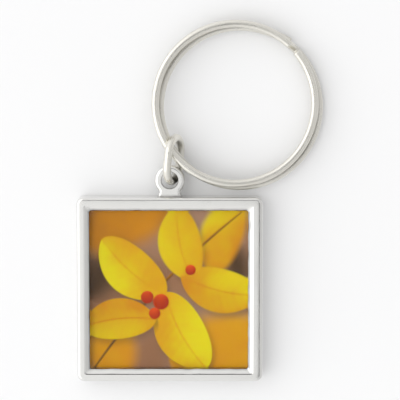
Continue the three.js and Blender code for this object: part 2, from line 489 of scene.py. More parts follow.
def new_group(
    name: str, numbers: dict[str, float], outputs: tuple[str, ...]
) -> tuple[NodeSheet, bpy.types.NodeOutputs, Node]:
    """Starts a node group whose first input is Vector.

    Args:
        name: the group's name.
        numbers: its other inputs, with their defaults.
        outputs: its outputs.

    Returns:
        A sheet on its tree, what it is given, and its output node.
    """
    tree = bpy.data.node_groups.new(name, "ShaderNodeTree")
    tree.interface.new_socket("Vector", in_out="INPUT", socket_type="NodeSocketVector")
    for label, default in numbers.items():
        socket = tree.interface.new_socket(label, in_out="INPUT", socket_type="NodeSocketFloat")
        socket.default_value = default
    for label in outputs:
        tree.interface.new_socket(label, in_out="OUTPUT", socket_type="NodeSocketFloat")
    sheet = NodeSheet(tree)
    return sheet, sheet.add("NodeGroupInput").outputs, sheet.add("NodeGroupOutput")


class Effects:
    """The effects that several finishes share, each a node group made once."""

    def __init__(self) -> None:
        """Makes every group."""
        self.unevenness = self.make_unevenness()
        self.hairlines = self.make_hairlines()
        self.edge_wear = self.make_edge_wear()
        # shade painted into hollows, between parts and under wires
        self.crease_shade = self.make_crease_shade()
        self.leaf = self.make_leaf()

    @staticmethod
    def make_unevenness() -> Tree:
        """Heights of two soft noises, the finer at a quarter of the other's weight.

        Returns:
            The group.
        """
        sheet, given, out = new_group("unevenness", {"Scale": 300.0}, ("Height",))
        coarse = sheet.noise(given["Vector"], given["Scale"], 1.0)
        fine = sheet.noise(given["Vector"], sheet.times(given["Scale"], 4.3))
        sheet.feed(out, {"Height": sheet.plus(sheet.times(coarse, 0.8), sheet.times(fine, 0.2))})
        return sheet.tree

    @staticmethod
    def make_hairlines() -> Tree:
        """Thin scratches: the crests of noise stretched along two headings, in patches.

        Returns:
            The group.
        """
        sheet, given, out = new_group("hairlines", {"Scale": 900.0, "Coverage": 0.3}, ("Mask",))
        lines = []
        for heading in (0.5, 2.1):
            drawn = sheet.mapping(given["Vector"], (1.0, 0.033, 1.0), (0.0, 0.0, heading))
            lines.append(sheet.ramp(sheet.noise(drawn, given["Scale"], 1.0), 0.62, 0.7))
        patch = sheet.noise(given["Vector"], sheet.times(given["Scale"], 0.12), 1.0)
        bare = sheet.minus(0.75, sheet.times(given["Coverage"], 0.5))
        shown = sheet.ramp(patch, bare, sheet.plus(bare, 0.15))
        sheet.feed(out, {"Mask": sheet.times(sheet.math("MAXIMUM", *lines), shown)})
        return sheet.tree

    @staticmethod
    def make_edge_wear() -> Tree:
        """Rubbed edges: the edge mask less a noise, made steeper.

        Returns:
            The group.
        """
        sheet, given, out = new_group("edge_wear", {"Edge": 0.0, "Scale": 700.0}, ("Mask",))
        rough = sheet.noise(given["Vector"], given["Scale"], 3.0, 0.6)
        sheet.feed(out, {"Mask": sheet.ramp(sheet.minus(given["Edge"], rough), -0.1, 0.5)})
        return sheet.tree

    @staticmethod
    def make_crease_shade() -> Tree:
        """Painted shade in hollows, between parts and under wires: the shade mask times a coarse
        noise.

        Returns:
            The group.
        """
        sheet, given, out = new_group("crease_shade", {"Crease": 0.0, "Scale": 500.0}, ("Mask",))
        rough = sheet.noise(given["Vector"], given["Scale"], 3.0, 0.6)
        patch = sheet.ramp(rough, 0.25, 0.75, 0.45, 1.0)
        sheet.feed(out, {"Mask": sheet.math("MULTIPLY", given["Crease"], patch, clamp=True)})
        return sheet.tree

    @staticmethod
    def make_leaf() -> Tree:
        """One leaf.

        Along runs from -1 at its stalk to 1 at its tip, across from -1 to 1 over its width there.
        The half width falls from mid length as (1 - along squared) to the power of Point, and Bow
        times (1 - along squared) bows the middle line. The mask is 1 inside and 0 outside, the
        rib 1 on the middle line. The veins swing from -1 to 1, slanting towards the tip.

        Returns:
            The group.
        """
        inputs = ("X", "Y", "Heading", "Length", "Width", "Bow", "Point", "Blur")
        least_half, rib_width, vein_pairs, vein_slant = 0.05, 0.26, 5.5, 1.5
        labels = ("Mask", "Rib", "Veins", "Along", "Across")
        sheet, given, out = new_group("leaf", dict.fromkeys(inputs, 0.0), labels)
        place = sheet.add("ShaderNodeSeparateXYZ", {0: given["Vector"]}).outputs
        x, y = (sheet.minus(place[axis], given[axis]) for axis in "XY")
        c, s = (sheet.math(name, given["Heading"]) for name in ("COSINE", "SINE"))
        forward = sheet.plus(sheet.times(x, c), sheet.times(y, s))
        sideways = sheet.minus(sheet.times(y, c), sheet.times(x, s))
        along = sheet.math("DIVIDE", forward, sheet.times(given["Length"], 0.5))
        room = sheet.minus(1.0, sheet.times(along, along), clamp=True)
        taper = sheet.math("POWER", room, given["Point"])
        half = sheet.times(sheet.times(given["Width"], 0.5), taper)
        off = sheet.minus(sideways, sheet.times(given["Bow"], room))
        across = sheet.math("DIVIDE", off, sheet.math("MAXIMUM", half, least_half))
        edge = sheet.times(given["Blur"], 0.5)
        shown = sheet.ramp(sheet.minus(half, sheet.size(off)), sheet.times(edge, -1.0), edge)
        tip = sheet.ramp(sheet.size(along), 1.04, 0.97)
        slant = sheet.times(sheet.size(across), vein_slant)
        phase = sheet.minus(sheet.times(along, vein_pairs), slant)
        sheet.feed(out, {
            "Mask": sheet.times(shown, tip),
            "Rib": sheet.ramp(sheet.size(off), rib_width, 0.04),
            "Veins": sheet.math("SINE", sheet.times(phase, 2.0 * math.pi)),
            "Along": along,
            "Across": across,
        })
        return sheet.tree


def new_material(name: str) -> tuple[Material, NodeSheet, Node]:
    """Starts a material.

    Args:
        name: the material's name.

    Returns:
        The material, a sheet on its nodes, and its Principled BSDF.
    """
    material = bpy.data.materials.new(name)
    material.use_nodes = True
    tree = material.node_tree
    return material, NodeSheet(tree), tree.nodes["Principled BSDF"]


# --- finishes


@dataclass(frozen=True)
class PlatedMetal:
    """Polished plating on metal.

    Attributes:
        name: of the material.
        colour, film: of the clean plating, and of the dark shade painted in its hollows.
        roughness, rubbed: how rough it is where it is clean, and on worn edges.
        wave_scale, wave_height: its unevenness, in waves a metre and in millimetres.
        pattern: what its grain follows.
        shade_share, shade_dulling: how far the painted shade darkens its colour, and what it adds
            to its roughness there.
        scratch_dulling: what scratches add to its roughness.
        anisotropy: how far a wire's grain draws out its gloss.
    """

    name: str
    colour: Colour
    shade_tone: Colour
    roughness: float
    wear_and_shade: float
    wave_scale: float
    wave_height: float
    pattern: Pattern
    shade_share: float = 0.75
    shade_dulling: float = 0.16
    scratch_dulling: float = 0.12
    anisotropy: float = 0.7

    def material(self, effects: Effects) -> Material:
        """Makes the material.

        Args:
            effects: the shared node groups.

        Returns:
            The material.
        """
        material, sheet, shader = new_material(self.name)
        place = sheet.place()
        wear = sheet.group(effects.edge_wear, vector=place, edge=sheet.mask("edge"))["Mask"]
        # painted shade: where its mask lies, the colour darkens towards the dark shade colour and
        # the roughness rises
        shade_tone = sheet.group(effects.crease_shade, vector=place, crease=sheet.mask("crease"))["Mask"]
        lines = sheet.group(effects.hairlines, vector=place)["Mask"]
        wave = sheet.group(effects.unevenness, vector=place, scale=self.wave_scale)["Height"]
        cloud = sheet.ramp(sheet.noise(place, 160.0, 3.0), 0.3, 0.7, -0.025, 0.03)
        rough = sheet.plus(self.roughness, cloud)
        rough = sheet.plus(rough, sheet.times(lines, self.scratch_dulling))
        rough = sheet.plus(rough, sheet.times(shade_tone, self.shade_dulling))
        rough = sheet.minus(rough, sheet.times(wear, self.roughness - self.wear_and_shade))
        normal = sheet.bump(wave, 1.0, self.wave_height)
        if self.pattern is Pattern.ALONG_WIRE:
            wrap = sheet.add("ShaderNodeUVMap", uv_map="wrap").outputs["UV"]
            drawn = sheet.noise(sheet.mapping(wrap, (26.0, 5.0, 1.0)), 1.0, 3.0, 0.6)
            rough = sheet.plus(rough, sheet.ramp(drawn, 0.35, 0.7, -0.02, 0.05))
            normal = sheet.bump(drawn, 0.5, 0.004, normal)
            across = sheet.add("ShaderNodeTangent", direction_type="UV_MAP", uv_map="wrap")
            sheet.feed(shader, {"Tangent": across.outputs[0], "Anisotropic": self.anisotropy})
        sheet.feed(shader, {
            "Base Color": sheet.mix(sheet.times(shade_tone, self.shade_share), self.colour, self.shade_tone),
            "Metallic": 1.0,
            "Roughness": sheet.math("MAXIMUM", rough, 0.04),
            "Normal": sheet.bump(lines, 0.35, -0.003, normal),
        })
        return material


@dataclass(frozen=True)
class ClearResin:
    """Clear, glossy plastic with faint wipe marks.

    Attributes:
        name: of the material.
        tint: the colour that it lets through.
        index: of refraction.
        gloss: how much it reflects, 1 for bare plastic and less for a coated one.
        shadow: how dark its shadow is, from 0 to 1.
    """

    name: str
    tint: Colour
    index: float
    gloss: float
    shadow: float = 0.07

    def material(self, effects: Effects) -> Material:
        """Makes the material, which lets light fall straight through to what lies under it.

        Args:
            effects: the shared node groups.

        Returns:
            The material.
        """
        material, sheet, shader = new_material(self.name)
        place = sheet.place()
        lines = sheet.group(effects.hairlines, vector=place, scale=700.0, coverage=0.1)["Mask"]
        wave = sheet.group(effects.unevenness, vector=place, scale=120.0)["Height"]
        smear = sheet.ramp(sheet.noise(place, 90.0, 3.0), 0.45, 0.75, 0.01, 0.035)
        in_shadow = sheet.add("ShaderNodeLightPath").outputs["Is Shadow Ray"]
        sheet.feed(shader, {
            "Base Color": rgba(self.tint),
            "IOR": self.index,
            "Transmission Weight": 1.0,
            "Specular Tint": rgba((self.gloss,) * 3),
            "Roughness": sheet.plus(smear, sheet.times(lines, 0.08)),
            "Normal": sheet.bump(wave, 0.6, 0.006),
            "Alpha": sheet.minus(1.0, sheet.times(in_shadow, 1.0 - self.shadow)),
        })
        return material


@dataclass(frozen=True)
class Leaf:
    """One leaf or berry of the print, in millimetres from the middle of the plate.

    Attributes:
        x, y: its middle.
        heading: of its tip, in degrees.
        length, width: its greatest sizes.
        light, dark: its colours on the lit half and on the other.
        bow: how far its middle line is bowed sideways.
        point: 0.5 for a round form, more for a pointed one.
        blur: how soft its edge is.
        ribbed: whether it shows its midrib, veins and shadow.
    """

    x: float
    y: float
    heading: float
    length: float
    width: float
    light: Colour
    dark: Colour
    bow: float = 0.0
    point: float = 0.5
    blur: float = 0.3
    ribbed: bool = False


@dataclass(frozen=True)
class LeafPrint:
    """A printed picture of golden leaves and red berries before a soft brown ground.

    Attributes:
        name: of the material.
        leaves: from the farthest to the nearest.
        ground: its two colours.
        shade: the colour of a near leaf's shadow.
        shade_offset: how far that falls to the right and downwards.
        shade_blur, shade_depth: how soft and how dark it is.
        vein_depth, rib_depth: how strongly the side veins and the midrib show.
    """

    name: str
    leaves: tuple[Leaf, ...]
    ground: tuple[Colour, Colour]
    shade: Colour
    shade_offset: tuple[float, float] = (0.5, 0.7)
    shade_blur: float = 2.6
    shade_depth: float = 0.5
    vein_depth: float = 0.07
    rib_depth: float = 0.45

    def material(self, effects: Effects) -> Material:
        """Makes the material.

        The ground runs between its colours by a broad noise. Each leaf is lit on one side of its
        middle line, and deeper towards its stalk and in broad folds. A near leaf lies over its own
        soft shadow on what is behind it, and has a darker midrib and faint side veins.

        Args:
            effects: the shared node groups.

        Returns:
            The material.
        """
        material, sheet, shader = new_material(self.name)
        place = sheet.place(1.0 / MM)
        picture = sheet.mix(sheet.ramp(sheet.noise(place, 0.09, 1.0), 0.35, 0.65), *self.ground)
        folds = sheet.ramp(sheet.noise(place, 0.22), 0.3, 0.7, -0.22, 0.22)
        right, down = self.shade_offset
        for leaf in self.leaves:
            form = {
                "vector": place, "x": leaf.x, "y": leaf.y, "heading": math.radians(leaf.heading),
                "length": leaf.length, "width": leaf.width, "bow": leaf.bow,
                "point": leaf.point, "blur": leaf.blur,
            }
            drawn = sheet.group(effects.leaf, **form)
            side = sheet.ramp(drawn["Across"], -0.8 - leaf.blur, 0.6 + leaf.blur, 0.12, 1.0)
            depth = sheet.ramp(drawn["Along"], -1.0, 0.5, 0.3, 1.0)
            lit = sheet.plus(sheet.times(side, depth), folds, clamp=True)
            if leaf.ribbed:
                form |= {"x": leaf.x + right, "y": leaf.y - down, "blur": self.shade_blur}
                shadow = sheet.times(sheet.group(effects.leaf, **form)["Mask"], self.shade_depth)
                picture = sheet.mix(shadow, picture, self.shade)
                veins = sheet.times(drawn["Veins"], self.vein_depth)
                relief = sheet.minus(veins, sheet.times(drawn["Rib"], self.rib_depth))
                lit = sheet.plus(lit, relief, clamp=True)
            picture = sheet.mix(drawn["Mask"], picture, sheet.mix(lit, leaf.dark, leaf.light))
        grain = sheet.ramp(sheet.noise(place, 9.0), 0.3, 0.7, 0.985, 1.015)
        tinted = sheet.add("ShaderNodeHueSaturation", {"Color": picture, "Value": grain})
        sheet.feed(shader, {
            "Base Color": tinted.outputs["Color"],
            "Normal": sheet.bump(sheet.noise(place, 24.0), 0.2, 0.004),
            "Roughness": 0.5,
            "Specular IOR Level": 0.12,
        })
        return material


YELLOW = linear(240, 214, 8)
LEMON = linear(244, 228, 14)
GOLD = linear(232, 170, 6)
AMBER = linear(224, 148, 8)
OCHRE = linear(192, 122, 14)
TAUPE = linear(178, 138, 110)
CLAY = linear(160, 114, 80)
UMBER = linear(82, 58, 34)
BERRY = linear(232, 84, 18)
EMBER = linear(178, 44, 8)

# The second colour of each metal is the dark shade painted in its hollows, between parts and under
# wires.
SILVER = PlatedMetal(
    "silver_plate", (0.775, 0.77, 0.75), (0.13, 0.125, 0.12), 0.13, 0.09, 260.0, 0.012,
    Pattern.OBJECT,
)
NICKEL = PlatedMetal(
    "nickel_wire", (0.79, 0.77, 0.71), (0.16, 0.15, 0.135), 0.27, 0.2, 420.0, 0.01,
    Pattern.ALONG_WIRE,
)
RESIN = ClearResin("clear_resin", (0.985, 0.99, 1.0), 1.49, 0.2)
PRINT = LeafPrint(
    "leaf_print",
    (
        Leaf(-13.0, 3.0, 60.0, 11.0, 7.0, UMBER, UMBER, blur=6.0),
        Leaf(9.5, -11.5, 15.0, 20.0, 13.0, GOLD, AMBER, blur=4.5),
        Leaf(-9.0, 12.5, 20.0, 19.0, 10.0, AMBER, OCHRE, blur=4.5),
        Leaf(-11.0, -12.0, 95.0, 12.0, 9.0, GOLD, AMBER, blur=3.5),
        Leaf(12.8, 4.0, 100.0, 9.0, 5.0, UMBER, UMBER, blur=5.0),
        Leaf(10.5, 10.0, 70.0, 15.0, 8.0, YELLOW, AMBER, 0.8, 0.6, 1.5),
        Leaf(-0.5, -0.5, 47.0, 42.0, 0.5, OCHRE, UMBER, 1.6, 0.3, 0.4),
        Leaf(2.8, 8.6, 102.0, 14.5, 8.2, YELLOW, GOLD, 0.9, 0.62, 0.6, True),
        Leaf(9.6, 0.6, -14.0, 15.5, 8.4, YELLOW, AMBER, -1.0, 0.62, 0.5, True),
        Leaf(-6.8, 4.2, 138.0, 16.0, 9.0, LEMON, GOLD, 1.1, 0.62, 0.4, True),
        Leaf(3.0, -8.0, -62.0, 16.5, 9.4, LEMON, GOLD, -1.1, 0.62, 0.35, True),
        Leaf(-9.6, -6.6, 186.0, 14.0, 7.8, YELLOW, AMBER, -0.9, 0.62, 0.3, True),
        Leaf(-1.7, -2.5, 45.0, 3.0, 3.0, BERRY, EMBER),
        Leaf(-4.3, -1.6, 45.0, 2.4, 2.4, BERRY, EMBER),
        Leaf(-2.9, -4.7, 45.0, 2.2, 2.2, BERRY, EMBER),
        Leaf(3.9, 3.6, 45.0, 2.0, 2.0, BERRY, EMBER),
    ),
    (CLAY, TAUPE),
    UMBER,
)


# --- the key ring


def spun(x: Floats | float, y: Floats | float, degrees: Floats | float) -> tuple[Floats, Floats]:
    """Turns x towards y by an angle a: x cos a - y sin a, and x sin a + y cos a."""
    c, s = np.cos(np.radians(degrees)), np.sin(np.radians(degrees))
    return x * c - y * s, x * s + y * c


@dataclass
class Case:
    """The cast case: a square tray with a raised bezel, its eyelet, and what lies in it.

    Attributes are millimetres. The tray's outside comes from the frame.
    """

    corner_radius: float = 1.3
    inner_corner_radius: float = 0.4
    back_edge_radius: float = 0.3
    outer_edge_radius: float = 0.5
    inner_edge_radius: float = 0.65
    bezel_width: float = 1.5
    crown: float = 0.024
    chamfer_width: float = 0.4
    chamfer_depth: float = 0.24
    ledge_width: float = 0.4
    ledge_depth: float = 0.36
    sway: float = 0.02
    seat_shift: tuple[float, float] = (0.42, 0.16)
    floor: float = 1.6
    plate: float = 1.0
    cover_gap: float = 0.08
    cover_bevel: float = 0.15
    cover_bevel_depth: float = 0.12
    corner_steps: int = 14
    side_steps: int = 48
    arc_steps: int = 8
    eyelet_y: float = 20.65
    eyelet_radius: float = 2.86
    eyelet_hole: float = 1.58
    eyelet_bottom: float = 2.1
    eyelet_thickness: float = 1.7
    eyelet_edge: float = 0.6
    countersink: float = 0.08
    neck_root: float = 2.45
    neck_waist: float = 1.85
    neck_join: float = -42.0
    neck_sink: float = 0.8
    eyelet_columns: int = 192

    def __post_init__(self) -> None:
        """Takes the outside of the tray from the frame."""
        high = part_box("case")[1]
        self.half = high.x / MM
        self.height = high.z / MM
        self.chamfer_inset = self.bezel_width + self.chamfer_width
        self.tray_inset = self.chamfer_inset + self.ledge_width
        self.chamfer_foot = self.height - self.chamfer_depth
        self.ledge_foot = self.chamfer_foot - self.ledge_depth

    def outline(self) -> tuple[Floats, Floats]:
        """A square with rounded corners, once for all its levels.

        A level of half width h and corner radius r has the points (h - r) * middle + r * outward.
        Round a corner outward turns; along a side the middle runs.

        Returns:
            middle and outward, both shaped (points, 2).
        """
        turn = np.linspace(0.0, np.pi / 2.0, self.corner_steps + 1)
        run = np.linspace(-1.0, 1.0, self.side_steps + 1)[1:-1]
        one, zero = np.ones_like(run), np.zeros_like(run)
        middle = np.vstack([np.stack([one, run], -1), np.ones((len(turn), 2))])
        outward = np.vstack([np.stack([one, zero], -1), np.stack([np.cos(turn), np.sin(turn)], -1)])
        quarters = [np.linalg.matrix_power([[0, 1], [-1, 0]], number) for number in range(4)]
        return tuple(np.vstack([part @ spin for spin in quarters]) for part in (middle, outward))

    def square_rows(
        self, inset: Floats, z: Floats, sway: Floats | float, seated: Floats | float
    ) -> Floats:
        """The rows of a square shell.

        The tray was cast a little narrow on the right and far sides. A level of half width h
        moves there by the shift times (place + h) / 2 h, and its other sides stand still.

        Args:
            inset: how far each level lies inside the tray's outer face.
            z: each level's height.
            sway: further inset at each point, shaped (levels, points).
            seated: each level's share of the shift, from 0 to 1.

        Returns:
            The points, shaped (levels, points, 3).
        """
        middle, outward = self.outline()
        inset = inset[:, None]
        radius = np.maximum(self.corner_radius - inset, self.inner_corner_radius)
        straight = self.half - inset - sway - radius
        flat = straight[..., None] * middle + radius[..., None] * outward
        share = np.broadcast_to(seated, z.shape)[:, None, None]
        along = flat / (self.half - inset)[..., None] + 1.0
        flat = flat - share * np.array(self.seat_shift) * along / 2.0
        return np.concatenate([flat, np.broadcast_to(z[:, None, None], (*flat.shape[:2], 1))], -1)

    def tray(self) -> Shell:
        """The tray: its profile carried round the square.

        The profile runs from the back over the outer edge, the bezel, the chamfer and the steeper
        ledge to the tray's floor. The bezel is crowned by a half sine over its width. The inner
        slopes waver a little, as they were cast.

        Returns:
            The shell, with its edge mask and its mask of painted shade.
        """
        back_reach, floor_reach = 2.4, 0.5
        chamfer_radius, ledge_radius, floor_radius = 0.12, 0.06, 0.05
        sway_start, sway_run, seat_start, seat_run = -0.1, 0.3, 0.6, 0.7
        shade_tone, shade_width, rubbed_from, back_top = 0.7, 0.08, 3.0, 1.0
        corners = np.array([
            [back_reach, 0.0], [0.0, 0.0], [0.0, self.height], [self.bezel_width, self.height],
            [self.chamfer_inset, self.chamfer_foot], [self.tray_inset, self.ledge_foot],
            [self.tray_inset, self.floor], [self.tray_inset + floor_reach, self.floor],
        ])
        radii = np.array([
            0.0, self.back_edge_radius, self.outer_edge_radius, self.inner_edge_radius,
            chamfer_radius, ledge_radius, floor_radius, 0.0,
        ])
        profile, bend = filleted(corners, radii, self.arc_steps)
        inset, level = profile.T
        flat_start, flat_width = self.outer_edge_radius, self.bezel_width - self.outer_edge_radius
        share = np.clip((inset - flat_start) / flat_width, 0.0, 1.0)
        fall = np.where(level > self.height - 1e-6, 1.0 - np.sin(share * np.pi), level > back_top)
        turns = np.linspace(0.0, 1.0, len(self.outline()[0]), endpoint=False)
        inner = np.clip((inset - self.bezel_width - sway_start) / sway_run, 0.0, 1.0)
        sway = inner[:, None] * waver(turns, self.sway, 7, 9, 60)
        seated = np.clip((inset - seat_start) / seat_run, 0.0, 1.0)
        rows = self.square_rows(inset, level - self.crown * fall, sway, seated)
        rubbed_inside = (inset > self.bezel_width) & (level > self.ledge_foot + 0.1)
        outer_edge = (level > rubbed_from) | (inset < self.outer_edge_radius)
        rubbed_outside = (inset <= self.bezel_width) & outer_edge
        # painted shade on the tray's inner wall, in the narrow gap round the cover's edge
        gap_shade = shade_tone * bell(inset, self.tray_inset, shade_width) * (level > self.floor + 0.5)
        edge = bend * (rubbed_inside | rubbed_outside)
        return Shell(rows, Ends.CAPPED, {"edge": edge[:, None], "crease": gap_shade[:, None]})

    def cover(self) -> Shell:
        """The clear cover: a thick sheet with a soft bevel, just above the plate.

        Returns:
            The shell.
        """
        edge, top = self.tray_inset + self.cover_gap, self.ledge_foot
        bottom = self.floor + self.plate + 0.02
        corners = np.array([
            [edge + 2.0, bottom], [edge, bottom], [edge, top - self.cover_bevel_depth],
            [edge + self.cover_bevel, top], [edge + 3.0, top],
        ])
        radii = np.array([0.0, 0.05, 0.05, 0.08, 0.0])
        inset, level = filleted(corners, radii, self.arc_steps)[0].T
        return Shell(self.square_rows(inset, level, 0.0, 1.0), Ends.CAPPED)

    def eyelet_reach(self, angle: Floats) -> Floats:
        """How far the eyelet's outline lies from its hole's centre, by angle.

        The head is a circle. Below the join each side of the neck is the quadratic from the join
        by the waist to the case wall, and then goes straight into the wall.

        Args:
            angle: in radians from +X.

        Returns:
            The distances.
        """
        join = math.radians(self.neck_join)
        wall = self.half - self.eyelet_y
        joined = self.eyelet_radius * np.array([math.cos(join), math.sin(join)])
        waist = np.array([self.neck_waist, (wall + joined[1]) / 2.0])
        foot = np.array([self.neck_root, wall])
        t = np.linspace(0.0, 1.0, 60)[:, None]
        curve = (1.0 - t) ** 2 * joined + 2.0 * t * (1.0 - t) * waist + t**2 * foot
        across = np.linspace(self.neck_root, 0.0, 40)
        bottom = np.stack([across, np.full_like(across, wall - self.neck_sink)], -1)
        x, y = np.vstack([curve, bottom]).T
        below = np.arctan2(y, x)
        folded = np.abs((angle + 1.5 * np.pi) % (2.0 * np.pi) - np.pi) - np.pi / 2.0
        order = np.argsort(below)
        on_neck = np.interp(folded, below[order], np.hypot(x, y)[order])
        return np.where(folded < join, on_neck, self.eyelet_radius)

    def eyelet(self) -> Shell:
        """The eyelet: a section from hole to outline, carried round the hole.

        What the outline stands out beyond the head is taken up by the square of the share of the
        way from the hole to the outline.

        Returns:
            The shell, with its edge mask and its mask of painted shade.
        """
        edge, sink, thick = self.eyelet_edge, self.countersink, self.eyelet_thickness
        hole_radii, lower_hole_radius = (0.03, 0.04), 0.3
        wall_shade, hole_shade, hole_shade_run = 0.35, 0.11, 0.05
        angle = np.linspace(0.0, 2.0 * np.pi, self.eyelet_columns, endpoint=False)
        width = self.eyelet_radius - self.eyelet_hole
        corners = np.array([
            [0.0, thick / 2.0], [0.0, thick - sink], [sink, thick], [width, thick],
            [width, 0.0], [0.0, 0.0], [0.0, thick / 2.0],
        ])
        radii = np.array([0.0, *hole_radii, edge, edge, lower_hole_radius, 0.0])
        profile, bend = (part[:-1, None] for part in filleted(corners, radii, self.arc_steps))
        out, level = profile[..., 0], profile[..., 1]
        beyond = self.eyelet_reach(angle) - self.eyelet_radius
        radius = self.eyelet_hole + out + beyond * np.clip(out / width, 0.0, 1.0) ** 2
        x, y = radius * np.cos(angle), self.eyelet_y + radius * np.sin(angle)
        rows = np.stack([x, y, np.broadcast_to(self.eyelet_bottom + level, x.shape)], -1)
        # painted shade where the neck meets the case wall, and down inside the hole
        near_wall = bell(np.maximum(y - self.half, 0.0), 0.0, wall_shade)
        in_hole = np.clip((hole_shade - out) / hole_shade_run, 0.0, 1.0)
        masks = {"edge": bend, "crease": np.maximum(near_wall, in_hole)}
        return Shell(rows, Ends.JOINED, masks)

    def build(self, frame: dict, effects: Effects) -> None:
        """Makes the tray, the eyelet and the cover, and prints the plate.

        Args:
            frame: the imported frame.
            effects: the shared node groups.
        """
        silver = SILVER.material(effects)
        tray = add_piece(self.tray(), "case_tray", Body.CASE, silver)
        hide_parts("case")
        add_piece(self.eyelet(), "case_eyelet", Body.CASE, silver)
        resin = RESIN.material(effects)
        cover = add_piece(self.cover(), "cover", Body.CASE, resin)
        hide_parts("clear_cover")
        plate = frame["nodes"]["picture_plate"]
        plate.data.materials.clear()
        plate.data.materials.append(PRINT.material(effects))
        LOG.info("picture_plate: printed")


@dataclass
class Link:
    """The oval link of round wire, butted in the middle of its lower leg.

    Attributes are millimetres, and degrees for its lean and yaw.
    """

    wire: Wire = Wire(1.5, 1.5, 2.0, 0.12)
    length: float = 9.7
    width: float = 7.6
    joint_gap: float = 0.12
    centre: Place = (0.76, 24.6, 3.68)
    lean: float = -21.5
    yaw: float = -5.9
    steps: int = 300

    def path(self) -> tuple[Floats, Floats]:
        """The wire's middle line in the link's own plane.

        Two half circles of radius bend joined by two straights, travelled from the joint in the
        middle of the lower straight. A point is bend times its outward direction, moved along
        the straights by what has been travelled on them.

        Returns:
            The points, and the outward direction at each.
        """
        bend, straight = (self.width - self.wire.width) / 2.0, self.length - self.width
        half_turn = math.pi * bend
        around = 2.0 * (half_turn + straight) - self.joint_gap
        ends = np.array([0.0, 0.02, 0.05, 0.09, 0.12])
        inner = np.linspace(0.15, around - 0.15, self.steps)
        s = np.concatenate([ends, inner, (around - ends)[::-1]]) + self.joint_gap / 2.0
        first = np.clip(s - straight / 2.0, 0.0, half_turn)
        second = np.clip(s - 1.5 * straight - half_turn, 0.0, half_turn)
        turned = (first + second) / bend
        outward = np.stack([np.zeros_like(s), np.sin(turned), -np.cos(turned)], -1)
        run_out = np.clip(s, 0.0, straight / 2.0)
        run_back = np.clip(s - straight / 2.0 - half_turn, 0.0, straight)
        run_home = np.clip(s - 1.5 * straight - 2.0 * half_turn, 0.0, straight / 2.0)
        points = bend * outward
        points[:, 1] += run_out - run_back + run_home
        return points, outward

    def turned(self, points: Floats) -> Floats:
        """Leans points about the link's own length, yaws them about +Z, and moves them.

        Args:
            points: in the link's own place.

        Returns:
            The points where they lie.
        """
        x, y, z = np.moveaxis(points, -1, 0)
        z, x = spun(z, x, self.lean)
        x, y = spun(x, y, self.yaw)
        return np.stack([x, y, z], -1) + self.centre

    def build(self, nickel: Material) -> None:
        """Makes the link, with shade painted on its inside and darker towards the cut ends at its
        joint.

        Args:
            nickel: its finish.
        """
        path, outward = self.path()
        rows, from_end = self.wire.along(path, np.array([1.0, 0.0, 0.0]), outward)
        inside = np.clip(-2.0 * self.wire.section()[:, 1] / self.wire.width, 0.0, 1.0) ** 2
        # painted shade on the inside of the link; darker towards the cut ends at the joint
        joint_dark, inside_shade = 0.25, 0.85
        crease = np.maximum(bell(from_end, 0.0, joint_dark)[:, None], inside_shade * inside)
        masks = {"edge": bell(from_end, 0.05, 0.08)[:, None], "crease": crease}
        shell = Shell(self.turned(rows), Ends.CAPPED, masks)
        link = add_piece(shell, "oval_link", Body.LINK, nickel)
        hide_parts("link")


